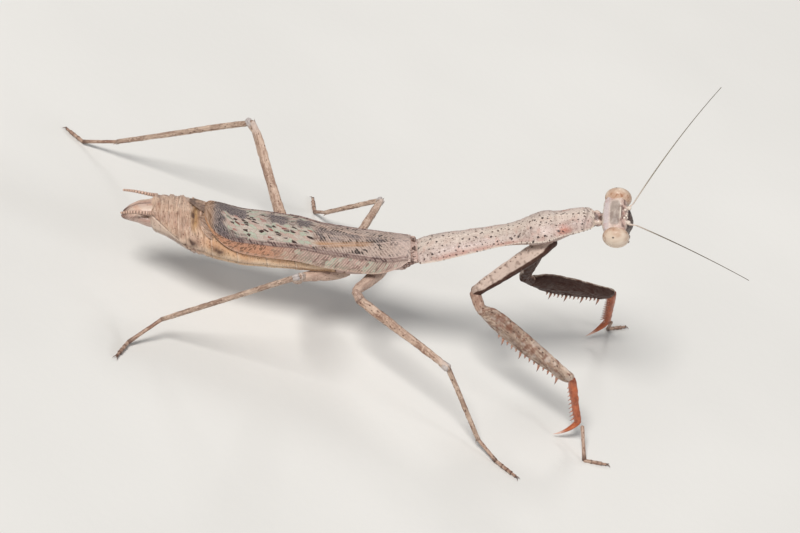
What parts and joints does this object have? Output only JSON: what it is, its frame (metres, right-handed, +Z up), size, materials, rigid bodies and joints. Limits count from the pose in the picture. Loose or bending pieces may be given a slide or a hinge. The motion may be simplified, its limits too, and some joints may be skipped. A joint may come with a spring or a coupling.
{
  "type": "praying mantis model",
  "caption": "Life-size still model of an adult female brown mantis, stalking stance on six legs with raised forebody and folded wings.",
  "frame": {"origin": "on the floor, under the middle of the model's box, feelers and feet included", "axes": "+X the way the mantis faces, along its length; +Y its left side; +Z up from the floor"},
  "size_m": [0.0696, 0.0422, 0.0407],
  "materials": {
    "cuticle": "satin pinkish-beige shell, finely granular, with small dark dots",
    "abdomen": "satin orange-tan cuticle with fine wrinkles and speckles",
    "tegmen": "leathery wing with raised veins in mottled beige, grey-green and brown",
    "hindwing": "smoky veined membrane",
    "eye": "smooth cream-orange compound eye",
    "antenna": "brown, finely ringed",
    "leg": "satin pinkish-beige, streaked and mottled with brown",
    "grasping_tibia": "satin orange-red with a pale claw tip"
  },
  "bodies": {
    "root": {"abdomen_1": "abdomen", "abdomen_2": "abdomen", "abdomen_3": "abdomen", "abdomen_4": "abdomen", "abdomen_5": "abdomen", "abdomen_6": "abdomen", "abdomen_7": "abdomen", "antenna_left": "antenna", "antenna_right": "antenna", "cercus_left": "abdomen", "cercus_right": "abdomen", "eye_left": "eye", "eye_right": "eye", "fore_left_coxa": "leg", "fore_left_femur": "leg", "fore_left_tarsus": "leg", "fore_left_tibia": "grasping_tibia", "fore_left_trochanter": "leg", "fore_right_coxa": "leg", "fore_right_femur": "leg", "fore_right_tarsus": "leg", "fore_right_tibia": "grasping_tibia", "fore_right_trochanter": "leg", "head": "cuticle", "hind_left_coxa": "leg", "hind_left_femur": "leg", "hind_left_tarsus": "leg", "hind_left_tibia": "leg", "hind_right_coxa": "leg", "hind_right_femur": "leg", "hind_right_tarsus": "leg", "hind_right_tibia": "leg", "hindwing_left": "hindwing", "hindwing_right": "hindwing", "labrum": "cuticle", "mid_left_coxa": "leg", "mid_left_femur": "leg", "mid_left_tarsus": "leg", "mid_left_tibia": "leg", "mid_right_coxa": "leg", "mid_right_femur": "leg", "mid_right_tarsus": "leg", "mid_right_tibia": "leg", "neck": "cuticle", "ovipositor": "abdomen", "palp_left": "cuticle", "palp_right": "cuticle", "pronotum": "cuticle", "prosternum": "cuticle", "pterothorax": "cuticle", "subgenital_plate": "abdomen", "tegmen_left": "tegmen", "tegmen_right": "tegmen"}
  },
  "joints": []
}
